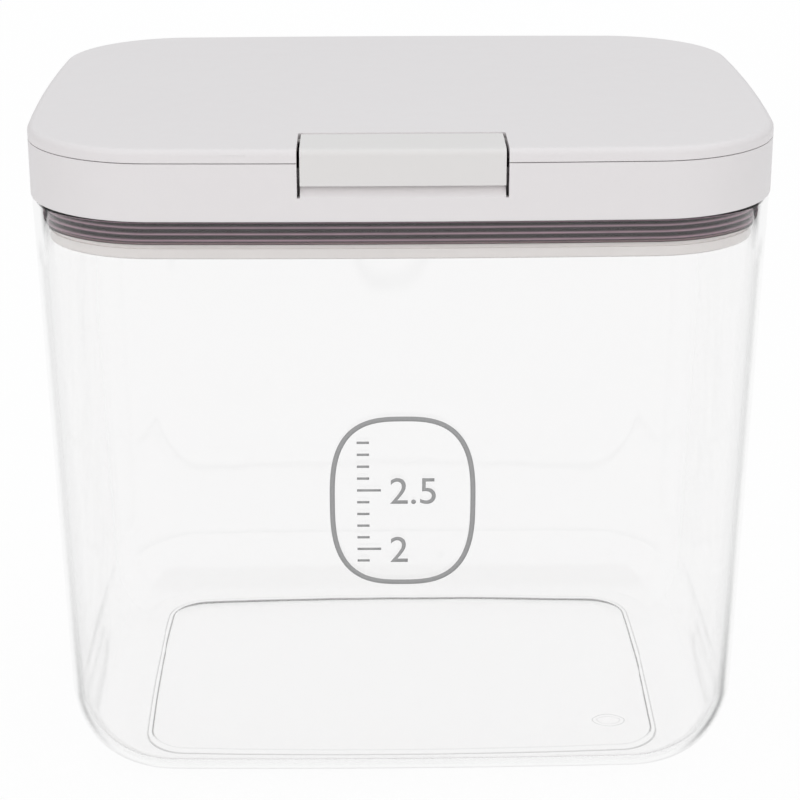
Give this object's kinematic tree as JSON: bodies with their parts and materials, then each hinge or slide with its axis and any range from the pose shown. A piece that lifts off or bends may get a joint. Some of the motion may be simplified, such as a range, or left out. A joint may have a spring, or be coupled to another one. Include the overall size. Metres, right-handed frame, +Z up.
{
  "type": "pet food storage container",
  "caption": "Clear rectangular tub with round corners and a white lid whose front lever squeezes a ribbed gasket against the inner wall.",
  "frame": {"origin": "middle of the base, on the surface that the tub stands on", "axes": "+Z up, +X along the long side, the latch faces -Y"},
  "size_m": [0.208, 0.157, 0.1928],
  "materials": {
    "clear_plastic": "clear, smooth",
    "white_plastic": "fine satin",
    "plate_plastic": "satin",
    "natural_plastic": "satin",
    "gasket_rubber": "soft matte",
    "steel": "plain"
  },
  "bodies": {
    "container": {"container_tub": "clear_plastic"},
    "lid": {"lid_base": "white_plastic", "lid_cover": "white_plastic", "latch_pin": "steel", "cover_screws": "steel", "seal_gasket": "gasket_rubber", "return_spring_front_left": "steel", "return_spring_front_right": "steel", "return_spring_back_left": "steel", "return_spring_back_right": "steel"},
    "latch": {"latch_lever": "white_plastic"},
    "slider": {"drive_slider": "natural_plastic"},
    "plate": {"pressure_plate": "plate_plastic", "cap_screws": "steel", "lift_cap_front_left": "natural_plastic", "lift_cap_front_right": "natural_plastic", "lift_cap_back_left": "natural_plastic", "lift_cap_back_right": "natural_plastic"}
  },
  "joints": [
    {"name": "lid_lift", "type": "slide", "parent": "container", "child": "lid", "axis": [0, 0, 1], "range_m": [0, 0.12]},
    {"name": "latch_flip", "type": "hinge", "parent": "lid", "child": "latch", "pos_m": [0, -0.0609, 0.19075], "axis": [-1, 0, 0], "range_deg": [0, 70]},
    {"name": "slider_shift", "type": "slide", "parent": "lid", "child": "slider", "axis": [0, -1, 0], "range_m": [0, 0.00918]},
    {"name": "plate_drop", "type": "slide", "parent": "lid", "child": "plate", "axis": [0, 0, -1], "range_m": [0, 0.0025], "deforming": ["return_spring_front_left", "return_spring_front_right", "return_spring_back_left", "return_spring_back_right", "seal_gasket"]}
  ],
  "couplings": [
    {"joint": "latch_flip", "follows": "slider_shift", "rad_per_m": 133.13},
    {"joint": "plate_drop", "follows": "slider_shift", "ratio": 0.27241}
  ]
}
